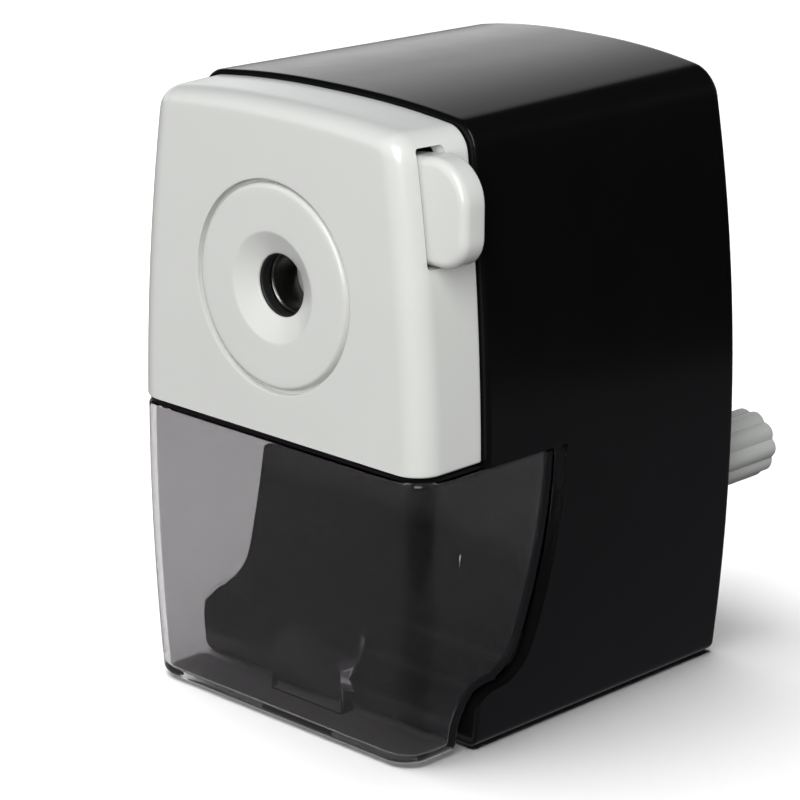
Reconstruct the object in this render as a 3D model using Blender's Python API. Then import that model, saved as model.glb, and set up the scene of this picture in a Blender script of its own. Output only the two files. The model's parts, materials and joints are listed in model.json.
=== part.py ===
"""Desk pencil sharpener with a crank: shell, cover, waste drawer, cutter and pencil clamp.

Frame: +Z up, the front (pencil side) faces -Y, the crank is at +Y. The origin is at the
centre of the footprint, on the table. All sizes are in metres.
"""

import math

import bmesh
import bpy
import numpy as np
from mathutils import Matrix, Vector

MM = 0.001

# Overall shape
WIDTH = 65.7 * MM            # widest point of the barrel-shaped front view
DEPTH = 71.8 * MM            # front of the cover to the back of the shell
STAND = 0.4 * MM             # the pad holds the shell this far above the table
TOP_Z = 100.4 * MM           # crest of the arched top
BULGE_Z = 41.4 * MM          # height of the widest point
BULGE_REACH = 50.0 * MM      # the bulges say how far the sides fall back over this height
LOWER_BULGE = 3.8 * MM
ARCH_POWER = 2.35
FOOT_RADIUS = 1.5 * MM
WALL = 2.0 * MM
GAP = 0.3 * MM
FRONT_STEP = 1.2 * MM        # the cover and the drawer stand this far inside the shell's sides
TOP_STEP = 0.75 * MM         # and the cover this far below the shell's top
FRONT_Y = -DEPTH / 2
BACK_Y = DEPTH / 2

# Front cover and its pencil hole
COVER_DEPTH = 10.9 * MM
COVER_BACK_Y = FRONT_Y + COVER_DEPTH
COVER_BOTTOM = 47.4 * MM
COVER_WALL = 2.2 * MM
COVER_ROUND = 4.2 * MM       # rounding between the cover's face and its sides
HOLE_Z = 71.0 * MM
HOLE_RADIUS = 4.95 * MM
DISH_RADIUS = 8.7 * MM
DISH_DEPTH = 1.9 * MM
RING_RADIUS = 16.3 * MM      # middle of the ring groove
RING_WIDTH = 1.2 * MM
RING_DEPTH = 1.15 * MM
BOSS_RADIUS = 9.6 * MM

# Sizes that change from front to back, as (y, size) stations
UPPER_BULGE = ((FRONT_Y + COVER_ROUND, 3.8 * MM), (COVER_BACK_Y, 2.9 * MM), (BACK_Y, 4.6 * MM))
TOP_ARCH = ((COVER_BACK_Y, 2.6 * MM), (BACK_Y, 4.0 * MM))
CROWN_RADIUS = ((FRONT_Y + COVER_ROUND, 3.4 * MM), (COVER_BACK_Y, 3.2 * MM), (BACK_Y, 3.8 * MM))

# Drawer, and the S-curve where it meets the shell
DRAWER_TOP = 46.3 * MM
DRAWER_WALL = 1.6 * MM
SHELL_SILL = 46.6 * MM       # lower edge of the shell above the drawer
SEAM_GAP = 1.1 * MM
ARCH_RADIUS = 8.0 * MM       # half-round boss at the foot of the drawer's back wall
QUARTER_TURN = [math.radians(a) for a in (90, 67.5, 45, 22.5, 0)]

# Cutter, gears and crank
CUTTER_TILT = math.radians(11.5)
CUTTER_OFFSET = 10.0 * MM    # from the main axis to the cutter's axis, at the pinion
PINION_Y = -16.6 * MM
CUTTER_RADIUS = 4.5 * MM
CUTTER_ANGLE = math.radians(150)   # where the cutter stands round the main axis at rest
RING_TEETH = 36
PINION_TEETH = 12
MODULE = CUTTER_OFFSET * 2 / (RING_TEETH - PINION_TEETH)
SHAFT_RADIUS = 2.5 * MM
PIN_BORE_RADIUS = 1.75 * MM
CRANK_RADIUS = 46.0 * MM
CRANK_ANGLE = math.radians(24.53)  # from straight down, towards +X
KNOB_RADIUS = 5.9 * MM
KNOB_START_Y = 42.6 * MM
KNOB_END_Y = 58.2 * MM
KNOB_LOBES = 10
KNOB_LOBE_DEPTH = 0.6 * MM
KNOB_BORE_RADIUS = 2.3 * MM

# Release button
BUTTON_FRONT_Y = -32.2 * MM
BUTTON_BACK_Y = -27.5 * MM
BUTTON_RIGHT_X = 36.4 * MM
BUTTON_LOW_Z = 79.1 * MM
BUTTON_HIGH_Z = 95.5 * MM
SPRING_Y = (BUTTON_FRONT_Y + BUTTON_BACK_Y) / 2
SPRING_Z = 89.5 * MM


def material(name, color, roughness, metallic=0.0, alpha=1.0):
    mat = bpy.data.materials.new(name)
    mat.use_nodes = True
    shader = mat.node_tree.nodes["Principled BSDF"]
    shader.inputs["Base Color"].default_value = (*color, 1.0)
    shader.inputs["Roughness"].default_value = roughness
    shader.inputs["Metallic"].default_value = metallic
    shader.inputs["Alpha"].default_value = alpha
    return mat


def add_object(name, bm, mat, smooth_angle=40):
    """Close a bmesh into an object with its faces pointing out."""
    bmesh.ops.recalc_face_normals(bm, faces=bm.faces)
    if bm.calc_volume(signed=True) < 0:
        bmesh.ops.reverse_faces(bm, faces=bm.faces)
    mesh = bpy.data.meshes.new(name)
    bm.to_mesh(mesh)
    bm.free()
    mesh.shade_smooth()
    mesh.set_sharp_from_angle(angle=math.radians(smooth_angle))
    mesh.materials.append(mat)
    obj = bpy.data.objects.new(name, mesh)
    bpy.context.scene.collection.objects.link(obj)
    return obj


def apply_tool(target, tool, operation, label):
    """Cut, join or intersect the target with a tool object, which is hidden."""
    tool.hide_render = True
    tool.display_type = "WIRE"
    modifier = target.modifiers.new(label, "BOOLEAN")
    modifier.operation = operation
    modifier.solver = "EXACT"
    modifier.object = tool


def combine(target, tool_bm, operation, label):
    """Cut, join or intersect the target with a tool body."""
    tool = add_object(f"{target.name}.{label}", tool_bm, target.data.materials[0])
    apply_tool(target, tool, operation, label)


def round_edges(obj, width, segments, over_angle=30):
    bevel = obj.modifiers.new("edges", "BEVEL")
    bevel.width = width
    bevel.segments = segments
    bevel.limit_method = "ANGLE"
    bevel.angle_limit = math.radians(over_angle)


# Outlines ----------------------------------------------------------------

def size_at(stations, y):
    """Size at y, from (y, size) stations that run from front to back."""
    return float(np.interp(y, [place for place, _ in stations], [size for _, size in stations]))


def half_width(z, y=FRONT_Y):
    bulge = size_at(UPPER_BULGE, y) if z > BULGE_Z else LOWER_BULGE
    return WIDTH / 2 - bulge * ((z - BULGE_Z) / BULGE_REACH) ** 2


def top_height(x, y):
    return TOP_Z - size_at(TOP_ARCH, y) * (abs(x) / (WIDTH / 2)) ** ARCH_POWER


def blend(start, corner, end, steps):
    """Round a corner with a curve that leaves along one side and arrives along the other."""
    pull = 0.552
    first = [s + (c - s) * pull for s, c in zip(start, corner)]
    second = [e + (c - e) * pull for e, c in zip(end, corner)]
    points = []
    for i in range(steps + 1):
        t = i / steps
        weights = ((1 - t) ** 3, 3 * t * (1 - t) ** 2, 3 * t * t * (1 - t), t ** 3)
        points.append(tuple(sum(w * p[k] for w, p in zip(weights, (start, first, second, end)))
                            for k in range(2)))
    return points


def barrel_section(y, inset, bottom, top, bottom_radius, top_radius, top_inset=None):
    """Barrel outline in (x, z) at y, moved in by inset; top is a height, or None for the arch."""
    top_inset = inset if top_inset is None else top_inset

    def side(z):
        return half_width(z, y) - inset

    def ceiling(x):
        return top_height(x, y) - top_inset if top is None else top

    corner_x = side(TOP_Z)
    for _ in range(12):
        corner_x = side(ceiling(corner_x))
    corner = (corner_x, ceiling(corner_x))
    low = bottom + bottom_radius
    high = corner[1] - top_radius
    right = blend((side(bottom) - bottom_radius, bottom), (side(bottom), bottom),
                  (side(low), low), 4)
    right += [(side(low + (high - low) * i / 7), low + (high - low) * i / 7) for i in range(1, 7)]
    inner_x = corner_x - top_radius
    right += blend((side(high), high), corner, (inner_x, ceiling(inner_x)), 4)
    right += [(inner_x * (1 - i / 5), ceiling(inner_x * (1 - i / 5))) for i in range(1, 6)]
    left = [(-x, z) for x, z in reversed(right[:-1])]
    return y, right + left


def loft_y(sections):
    """Solid through (y, outline) sections, each outline in (x, z)."""
    bm = bmesh.new()
    rings = [[bm.verts.new((x, y, z)) for x, z in outline] for y, outline in sections]
    for near, far in zip(rings, rings[1:]):
        for i in range(len(near)):
            j = (i + 1) % len(near)
            bm.faces.new((near[i], near[j], far[j], far[i]))
    bm.faces.new(list(reversed(rings[0])))
    bm.faces.new(rings[-1])
    bmesh.ops.recalc_face_normals(bm, faces=bm.faces)
    return bm


def prism_x(outline, x0, x1):
    """Solid of a (y, z) outline from x0 to x1."""
    bm = bmesh.new()
    ends = [[bm.verts.new((x, y, z)) for y, z in outline] for x in (x0, x1)]
    for i in range(len(outline)):
        j = (i + 1) % len(outline)
        bm.faces.new((ends[0][i], ends[0][j], ends[1][j], ends[1][i]))
    bm.faces.new(ends[0])
    bm.faces.new(list(reversed(ends[1])))
    bmesh.ops.recalc_face_normals(bm, faces=bm.faces)
    return bm


def box(low, high):
    outline = [(low[0], low[2]), (high[0], low[2]), (high[0], high[2]), (low[0], high[2])]
    return loft_y([(low[1], outline), (high[1], outline)])


def arc_points(center, radius, angles):
    return [(center[0] + radius * math.cos(a), center[1] + radius * math.sin(a)) for a in angles]


def circle(radius, count, center=(0.0, 0.0), start=0.0):
    return arc_points(center, radius, [start + math.tau * i / count for i in range(count)])


def lathe_y(profile, count, center=(0.0, 0.0)):
    """Turn a closed (radius, y) profile round an axis along Y through center (x, z)."""
    bm = bmesh.new()
    rings = []
    for radius, y in profile:
        if radius < 1e-7:
            rings.append([bm.verts.new((center[0], y, center[1]))])
        else:
            rings.append([bm.verts.new((x, y, z)) for x, z in circle(radius, count, center)])
    for a, b in zip(rings, rings[1:] + rings[:1]):
        for i in range(count):
            j = (i + 1) % count
            corners = [a[i % len(a)], a[j % len(a)], b[j % len(b)], b[i % len(b)]]
            unique = list(dict.fromkeys(corners))
            if len(unique) > 2:
                bm.faces.new(unique)
    bmesh.ops.recalc_face_normals(bm, faces=bm.faces)
    return bm


def cylinder_y(radius, y0, y1, count=24, center=(0.0, 0.0)):
    return lathe_y([(0, y0), (radius, y0), (radius, y1), (0, y1)], count, center)


def tube_y(outer, inner, y0, y1, count=32, center=(0.0, HOLE_Z)):
    return lathe_y([(outer, y0), (outer, y1), (inner, y1), (inner, y0)], count, center)


def join(bms):
    """Put several bmeshes that don't touch, or that a Boolean will merge, in one."""
    whole = bmesh.new()
    for part in bms:
        mesh = bpy.data.meshes.new("join")
        part.to_mesh(mesh)
        part.free()
        whole.from_mesh(mesh)
        bpy.data.meshes.remove(mesh)
    return whole


# The S-curve seam ----------------------------------------------------------

def seam_points():
    """Side view (y, z) of the shell's edge behind the drawer, from the sill to the foot."""
    upper = [(-4.9, 46.6), (-5.55, 38.0), (-6.8, 30.0), (-8.65, 22.5)]
    shoulder = blend((-11.2, 14.6), (-12.7, 9.9), (-17.6, 9.6), 4)
    step = blend((-18.5, 9.55), (-23.6, 9.3), (-24.0, 4.0), 4)
    foot = [(-24.3, 0.0)]
    return [(y * MM, z * MM) for y, z in upper + shoulder + step + foot]


def offset_seam(distance, low, high):
    """The seam moved forward by distance along its normal, running from height high to low."""
    points = seam_points()
    moved = []
    for i, (y, z) in enumerate(points):
        y0, z0 = points[max(i - 1, 0)]
        y1, z1 = points[min(i + 1, len(points) - 1)]
        length = math.hypot(y1 - y0, z1 - z0)
        moved.append((y + (z1 - z0) / length * distance, z - (y1 - y0) / length * distance))
    moved[0] = (moved[0][0] + 0.2 * MM, high)
    moved[-1] = (moved[-1][0], low)
    return moved


# Shell ----------------------------------------------------------------------

POST_PLACES = [(side * x, z) for side in (-1, 1) for x, z in ((22.5 * MM, 54.5 * MM),
                                                             (19.0 * MM, 91.0 * MM))]
POST_RADIUS = 3.0 * MM
SCREW_BORE_RADIUS = 1.3 * MM
BACK_WALL = WALL + 0.3 * MM
FAR = 60 * MM                # well outside the shell, for cutting bodies
POST_FRONT_Y = -20.4 * MM
COVER_POST_PLACES = [(-24.5 * MM, 70.0 * MM), (24.5 * MM, 66.0 * MM), (0.0, 94.0 * MM)]
CHASSIS_FRONT_Y = -22.6 * MM
CHASSIS_BACK_Y = -20.8 * MM
BASE_SCREW_PLACES = [(-20.0 * MM, 27.0 * MM), (20.0 * MM, 27.0 * MM)]
BASE_THICKNESS = 1.8 * MM
LEDGE_THICKNESS = 0.5 * MM
LEDGE_ROUND = 5.0 * MM


def build_housing(mat):
    """Black shell: mechanism bay above, drawer bay in front, an empty bay behind the seam."""
    lip = 0.7 * MM
    rim = 0.9 * MM

    def ring(y, inset):
        return barrel_section(y, inset, STAND + inset, None, FOOT_RADIUS - inset,
                              size_at(CROWN_RADIUS, y) - inset)

    sections = [ring(COVER_BACK_Y, lip), ring(COVER_BACK_Y + lip * 0.3, lip * 0.3)]
    sections.append(ring(COVER_BACK_Y + lip, 0.0))
    sections += [ring(BACK_Y - rim * (1 - math.sin(a)), rim * (1 - math.cos(a)))
                 for a in (0.0, math.pi / 6, math.pi / 3, math.pi / 2)]
    shell = add_object("housing", loft_y(sections), mat)

    bay_back = BACK_Y - BACK_WALL
    shelf = SHELL_SILL + WALL
    upper_bay = [barrel_section(y, WALL, shelf, None, 1.0 * MM, size_at(CROWN_RADIUS, y) - WALL)
                 for y in (COVER_BACK_Y - MM, bay_back)]
    combine(shell, loft_y(upper_bay), "DIFFERENCE", "upper_bay")
    lower_sections = [barrel_section(y, WALL, -2 * MM, SHELL_SILL, 0.5 * MM, 1.0 * MM)
                      for y in (FRONT_Y, bay_back)]
    lower_bay = add_object("housing.lower_bay_body", loft_y(lower_sections), mat)
    behind_seam = [(FAR, FAR), *offset_seam(-WALL, -4 * MM, FAR), (FAR, -4 * MM)]
    combine(lower_bay, prism_x(behind_seam, -FAR, FAR), "INTERSECT", "seam_side")
    apply_tool(shell, lower_bay, "DIFFERENCE", "lower_bay")
    ahead_of_seam = offset_seam(0.0, -3 * MM, SHELL_SILL) + [(-FAR, -3 * MM), (-FAR, SHELL_SILL)]
    combine(shell, prism_x(ahead_of_seam, -FAR, FAR), "DIFFERENCE", "drawer_bay")
    chute = box((-25 * MM, COVER_BACK_Y + 2 * MM, SHELL_SILL - MM), (25 * MM, -8 * MM, shelf + MM))
    combine(shell, chute, "DIFFERENCE", "chute")

    combine(shell, ledge_body(), "UNION", "ledge")
    for number, place in enumerate(POST_PLACES):
        post = cylinder_y(POST_RADIUS, POST_FRONT_Y, bay_back + MM, 16, place)
        combine(shell, post, "UNION", f"post_{number}")
        bore = cylinder_y(SCREW_BORE_RADIUS, POST_FRONT_Y - MM, POST_FRONT_Y + 8 * MM, 12, place)
        combine(shell, bore, "DIFFERENCE", f"bore_{number}")
    post_low = STAND + BASE_THICKNESS + GAP
    for number, (x, y) in enumerate(BASE_SCREW_PLACES):
        stand_up = Matrix.Translation((x, y, 0)) @ Matrix.Rotation(math.pi / 2, 4, "X")
        post = cylinder_y(3.2 * MM, post_low, shelf - 0.5 * MM, 16)
        post.transform(stand_up)
        combine(shell, post, "UNION", f"base_post_{number}")
        bore = cylinder_y(SCREW_BORE_RADIUS, -MM, 12 * MM, 12)
        bore.transform(stand_up)
        combine(shell, bore, "DIFFERENCE", f"base_bore_{number}")
    bearing = cylinder_y(6.0 * MM, BACK_Y - 4 * MM, BACK_Y + MM, 32, (0, HOLE_Z))
    combine(shell, bearing, "DIFFERENCE", "bearing_hole")


def ledge_body():
    """Thin frame of the shell that runs forward between the cover and the drawer."""
    low = SHELL_SILL
    high = SHELL_SILL + LEDGE_THICKNESS

    def plan(inset, back):
        x = half_width(low) - FRONT_STEP - inset
        front = FRONT_Y + inset
        right = blend((x - LEDGE_ROUND, front), (x, front), (x, front + LEDGE_ROUND), 4)
        right.append((x, back))
        return right + [(-px, py) for px, py in reversed(right)]

    outer = plan(0.35 * MM, COVER_BACK_Y + 2.5 * MM)
    inner = plan(3.0 * MM, COVER_BACK_Y + 2.0 * MM)
    bm = bmesh.new()
    rings = [[bm.verts.new((x, y, z)) for x, y in outline]
             for outline, z in ((outer, low), (outer, high), (inner, high), (inner, low))]
    for a, b in zip(rings, rings[1:] + rings[:1]):
        for i in range(len(outer)):
            j = (i + 1) % len(outer)
            bm.faces.new((a[i], a[j], b[j], b[i]))
    bmesh.ops.recalc_face_normals(bm, faces=bm.faces)
    return bm


def build_base(mat_plate, mat_pad, mat_steel):
    low = STAND
    high = STAND + BASE_THICKNESS
    front = -21.7 * MM
    back = BACK_Y - WALL - 0.6 * MM
    half = half_width(STAND + FOOT_RADIUS) - WALL - 1.2 * MM
    plate = add_object("base_plate", box((-half, front, low), (half, back, high)), mat_plate)
    round_edges(plate, 0.4 * MM, 1)
    pad_box = box((-21 * MM, -19 * MM, -MM), (21 * MM, 21 * MM, low + 0.9 * MM))
    combine(plate, pad_box, "DIFFERENCE", "pad_recess")
    for number, (x, y) in enumerate(BASE_SCREW_PLACES):
        hole = lathe_y([(0, -MM), (2.9 * MM, -MM), (2.9 * MM, 1.5 * MM), (1.7 * MM, 1.5 * MM),
                        (1.7 * MM, 4 * MM), (0, 4 * MM)], 16)
        hole.transform(Matrix.Translation((x, y, 0)) @ Matrix.Rotation(math.pi / 2, 4, "X"))
        combine(plate, hole, "DIFFERENCE", f"screw_hole_{number}")
        add_screw(f"base_screw_{number + 1}", Vector((x, y, low + 0.15 * MM)), Vector((0, 0, 1)),
                  2.5 * MM, 0.8 * MM, 8.0 * MM, mat_steel)
    pad = add_object("base_pad", box((-20.7 * MM, -18.7 * MM, 0),
                                     (20.7 * MM, 20.7 * MM, low + 0.6 * MM)), mat_pad)
    round_edges(pad, 0.25 * MM, 1)


def add_screw(name, place, direction, head_radius, head_height, length, mat):
    """Screw whose head starts at place; its shank runs along direction."""
    shank = 1.0 * MM
    profile = [(0, 0), (head_radius * 0.86, 0), (head_radius, head_height * 0.4),
               (head_radius, head_height), (shank, head_height), (shank, length),
               (0, length + 0.6 * MM)]
    bm = lathe_y(profile, 14)
    turn = Vector((0, 1, 0)).rotation_difference(direction).to_matrix().to_4x4()
    bm.transform(Matrix.Translation(place) @ turn)
    screw = add_object(name, bm, mat)
    slot = box((-head_radius * 0.7, -MM, -0.3 * MM),
               (head_radius * 0.7, head_height * 0.45, 0.3 * MM))
    slot.transform(Matrix.Translation(place) @ turn)
    combine(screw, slot, "DIFFERENCE", "slot")


# Front cover -------------------------------------------------------------------

def build_cover(mat):
    """Light cap over the upper front, with the dished pencil hole and a moulded ring."""
    def ring(y, inset, wall=0.0):
        radius = max(size_at(CROWN_RADIUS, y) - inset * 0.5 - wall * 0.5, 1.5 * MM)
        return barrel_section(y, FRONT_STEP + inset + wall, COVER_BOTTOM + wall, None, 0.5 * MM,
                              radius, top_inset=TOP_STEP + inset * 0.6 + wall)

    sections = [ring(FRONT_Y + COVER_ROUND * (1 - math.sin(a)), COVER_ROUND * (1 - math.cos(a)))
                for a in QUARTER_TURN]
    cover = add_object("front_cover", loft_y([*sections, ring(COVER_BACK_Y - GAP, 0.0)]), mat)

    inner_front = FRONT_Y + COVER_WALL
    inner_round = COVER_ROUND - 1.4 * MM
    cavity = [ring(inner_front + inner_round * (1 - math.sin(a)), inner_round * (1 - math.cos(a)),
                   COVER_WALL) for a in QUARTER_TURN[::2]]
    cavity.append(ring(COVER_BACK_Y + MM, 0.0, COVER_WALL))
    combine(cover, loft_y(cavity), "DIFFERENCE", "hollow")

    boss = tube_y(BOSS_RADIUS, 7.1 * MM, inner_front - 0.5 * MM, -31.6 * MM, 40)
    combine(cover, boss, "UNION", "hole_boss")
    for number, place in enumerate(COVER_POST_PLACES):
        post = cylinder_y(POST_RADIUS, inner_front - 0.5 * MM, CHASSIS_FRONT_Y - GAP, 16, place)
        combine(cover, post, "UNION", f"post_{number}")
        bore = cylinder_y(SCREW_BORE_RADIUS, CHASSIS_FRONT_Y - 7.5 * MM, CHASSIS_FRONT_Y + MM, 12,
                          place)
        combine(cover, bore, "DIFFERENCE", f"bore_{number}")
    spring_rib = box((13.0 * MM, inner_front - 0.5 * MM, 86.0 * MM),
                     (14.8 * MM, -27.5 * MM, 94.0 * MM))
    combine(cover, spring_rib, "UNION", "spring_rib")

    dish_y = FRONT_Y + DISH_DEPTH
    opening = [(0, FRONT_Y - MM), (DISH_RADIUS + 0.9 * MM, FRONT_Y - MM),
               (DISH_RADIUS, FRONT_Y + 0.05 * MM), (HOLE_RADIUS, dish_y),
               (HOLE_RADIUS, -30 * MM), (0, -30 * MM)]
    combine(cover, lathe_y(opening, 40, (0, HOLE_Z)), "DIFFERENCE", "pencil_hole")
    outer = RING_RADIUS + RING_WIDTH / 2
    inner = RING_RADIUS - RING_WIDTH / 2
    groove = [(outer, FRONT_Y - MM), (outer, FRONT_Y + RING_DEPTH),
              (inner + 0.2 * MM, FRONT_Y + RING_DEPTH), (inner, FRONT_Y + 0.4 * RING_DEPTH),
              (inner - 0.8 * MM, FRONT_Y - 0.15 * MM), (inner - 0.8 * MM, FRONT_Y - MM)]
    combine(cover, lathe_y(groove, 64, (0, HOLE_Z)), "DIFFERENCE", "ring_groove")
    slot = box((20 * MM, BUTTON_FRONT_Y - GAP, BUTTON_LOW_Z - 0.5 * MM),
               (FAR, BUTTON_BACK_Y + GAP, BUTTON_HIGH_Z + 0.8 * MM))
    combine(cover, slot, "DIFFERENCE", "button_slot")


def build_button(mat, mat_spring):
    """Thumb button that slides inward through the slot at the cover's upper right."""
    low, high, right = BUTTON_LOW_Z, BUTTON_HIGH_Z, BUTTON_RIGHT_X
    round_low = 4.9 * MM
    round_high = 6.8 * MM
    outline = [(22.0 * MM, low)]
    outline += blend((right - round_low, low), (right, low), (right, low + round_low), 5)
    outline += blend((right, high - round_high), (right, high), (right - round_high, high), 5)
    outline += [(26.5 * MM, high - 0.35 * MM), (22.0 * MM, high - 1.8 * MM)]
    button = add_object("release_button",
                        loft_y([(BUTTON_FRONT_Y, outline), (BUTTON_BACK_Y, outline)]), mat)
    round_edges(button, 1.2 * MM, 3, 50)
    arm = box((5.5 * MM, -31.2 * MM, 81.4 * MM), (23 * MM, -28.9 * MM, 84.4 * MM))
    combine(button, arm, "UNION", "arm")
    spring_bore = cylinder_y(2.2 * MM, 21 * MM, 27 * MM, 20)
    spring_bore.transform(Matrix.Translation((0, SPRING_Y, SPRING_Z))
                          @ Matrix.Rotation(-math.pi / 2, 4, "Z"))
    combine(button, spring_bore, "DIFFERENCE", "spring_bore")
    coil("button_spring", Vector((15.3 * MM, SPRING_Y, SPRING_Z)), 11.0 * MM, 1.6 * MM,
         0.25 * MM, 6, mat_spring)


def coil(name, start, length, radius, wire, turns, mat):
    """Helical spring along +X from start."""
    steps = turns * 12
    sides = 6
    along = Vector((1, 0, 0))
    bm = bmesh.new()
    rings = []
    for i in range(steps + 1):
        angle = math.tau * turns * i / steps
        outward = Vector((0, math.cos(angle), math.sin(angle)))
        center = start + along * length * i / steps + outward * radius
        around = [math.tau * k / sides for k in range(sides)]
        rings.append([bm.verts.new(center + wire * (outward * math.cos(a) + along * math.sin(a)))
                      for a in around])
    for a, b in zip(rings, rings[1:]):
        for k in range(sides):
            m = (k + 1) % sides
            bm.faces.new((a[k], a[m], b[m], b[k]))
    bm.faces.new(rings[0])
    bm.faces.new(list(reversed(rings[-1])))
    add_object(name, bm, mat)


# Drawer --------------------------------------------------------------------------

def build_drawer(mat):
    """Smoked bin: front, sides and a back wall that follows the S-curve."""
    front_round = 4.6 * MM
    foot_round = 1.2 * MM
    wall = DRAWER_WALL

    def ring(y, inset, lift):
        return barrel_section(y, FRONT_STEP + inset, STAND + lift, DRAWER_TOP,
                              FOOT_RADIUS - lift * 0.6, 0.4 * MM)

    sections = [ring(FRONT_Y + front_round * (1 - math.sin(a)), front_round * (1 - math.cos(a)),
                     foot_round * (1 - math.cos(a))) for a in QUARTER_TURN]
    sections.append(ring(-2 * MM, 0.0, 0.0))
    drawer = add_object("drawer", loft_y(sections), mat)
    front_side = offset_seam(SEAM_GAP, -3 * MM, FAR) + [(-FAR, -3 * MM), (-FAR, FAR)]
    combine(drawer, prism_x(front_side, -FAR, FAR), "INTERSECT", "seam")

    def hollow(y, inset):
        return barrel_section(y, FRONT_STEP + inset, STAND + wall, FAR, 1.0 * MM, 0.4 * MM)

    inner_round = front_round - wall
    cavity = [hollow(FRONT_Y + wall + inner_round * (1 - math.sin(a)),
                     wall + inner_round * (1 - math.cos(a))) for a in QUARTER_TURN]
    cavity.append(hollow(MM, wall))
    inside = add_object("drawer.inside", loft_y(cavity), mat)
    inner_side = offset_seam(SEAM_GAP + wall, -3 * MM, FAR + 10 * MM)
    inner_side += [(-FAR, -3 * MM), (-FAR, FAR + 10 * MM)]
    combine(inside, prism_x(inner_side, -FAR, FAR), "INTERSECT", "seam")
    arch_center = STAND + wall + 4.4 * MM
    half_round = [math.pi * (1 - i / 12) for i in range(13)]
    arch = [(-ARCH_RADIUS, 0.0)]
    arch += [(ARCH_RADIUS * math.cos(a), arch_center + ARCH_RADIUS * math.sin(a))
             for a in half_round]
    arch.append((ARCH_RADIUS, 0.0))
    combine(inside, loft_y([(-28.6 * MM, arch), (-10 * MM, arch)]), "DIFFERENCE", "arch_boss")
    apply_tool(drawer, inside, "DIFFERENCE", "inside")


# Fixed frame of the mechanism ---------------------------------------------------------

def build_chassis(mat, mat_ring, mat_steel):
    """Plate behind the cover that carries the ring gear, screwed to the shell and the cover."""
    play = 0.5 * MM
    sections = [barrel_section(y, WALL + play, SHELL_SILL + WALL + play, None, 1.0 * MM,
                               size_at(CROWN_RADIUS, y) - WALL)
                for y in (CHASSIS_FRONT_Y, CHASSIS_BACK_Y)]
    chassis = add_object("chassis", loft_y(sections), mat)
    middle = cylinder_y(14.2 * MM, CHASSIS_FRONT_Y - MM, CHASSIS_BACK_Y + MM, 40, (0, HOLE_Z))
    combine(chassis, middle, "DIFFERENCE", "middle_hole")
    drop = box((-14 * MM, CHASSIS_FRONT_Y - MM, 50 * MM), (14 * MM, CHASSIS_BACK_Y + MM, 54 * MM))
    combine(chassis, drop, "DIFFERENCE", "chip_window")
    for number, place in enumerate(POST_PLACES + COVER_POST_PLACES):
        hole = cylinder_y(1.5 * MM, CHASSIS_FRONT_Y - MM, CHASSIS_BACK_Y + MM, 12, place)
        combine(chassis, hole, "DIFFERENCE", f"screw_hole_{number}")
    rows = (("chassis_screw", POST_PLACES, CHASSIS_FRONT_Y - 1.5 * MM, 1),
            ("cover_screw", COVER_POST_PLACES, CHASSIS_BACK_Y + 1.5 * MM, -1))
    for name, places, head_y, direction in rows:
        for number, (x, z) in enumerate(places):
            add_screw(f"{name}_{number + 1}", Vector((x, head_y, z)), Vector((0, direction, 0)),
                      2.6 * MM, 1.2 * MM, 8.5 * MM, mat_steel)

    teeth = gear_outline(RING_TEETH, MODULE * RING_TEETH / 2, 0.9 * MM, 0.45 * MM, internal=True)
    outer = circle(18.8 * MM, len(teeth), start=CUTTER_ANGLE)
    front, back = -20.5 * MM, -14.9 * MM
    bm = bmesh.new()
    rings = [[bm.verts.new((x, y, z + HOLE_Z)) for x, z in outline]
             for outline, y in ((outer, front), (outer, back), (teeth, back), (teeth, front))]
    for a, b in zip(rings, rings[1:] + rings[:1]):
        for i in range(len(teeth)):
            j = (i + 1) % len(teeth)
            bm.faces.new((a[i], a[j], b[j], b[i]))
    add_object("ring_gear", bm, mat_ring, 30)


def gear_outline(teeth, pitch_radius, root_depth, tip_height, internal=False):
    """Trapezoid teeth; an internal gear has a gap, and a pinion a tooth, at the rest angle."""
    pitch = math.tau / teeth
    half_tooth = 0.5 * 0.78 * MM / pitch_radius
    half_tip = 0.5 * 0.42 * MM / pitch_radius
    root_half = 0.5 * 1.05 * MM / pitch_radius
    sign = -1 if internal else 1
    tip = pitch_radius + sign * tip_height
    root = pitch_radius - sign * root_depth
    first_tooth = CUTTER_ANGLE + 0.5 * pitch if internal else 0.0
    points = []
    for i in range(teeth):
        middle = first_tooth + i * pitch
        for offset, radius in ((-root_half, root), (-half_tooth, pitch_radius), (-half_tip, tip),
                               (half_tip, tip), (half_tooth, pitch_radius), (root_half, root)):
            points.append((radius * math.cos(middle + offset), radius * math.sin(middle + offset)))
    return points


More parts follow.
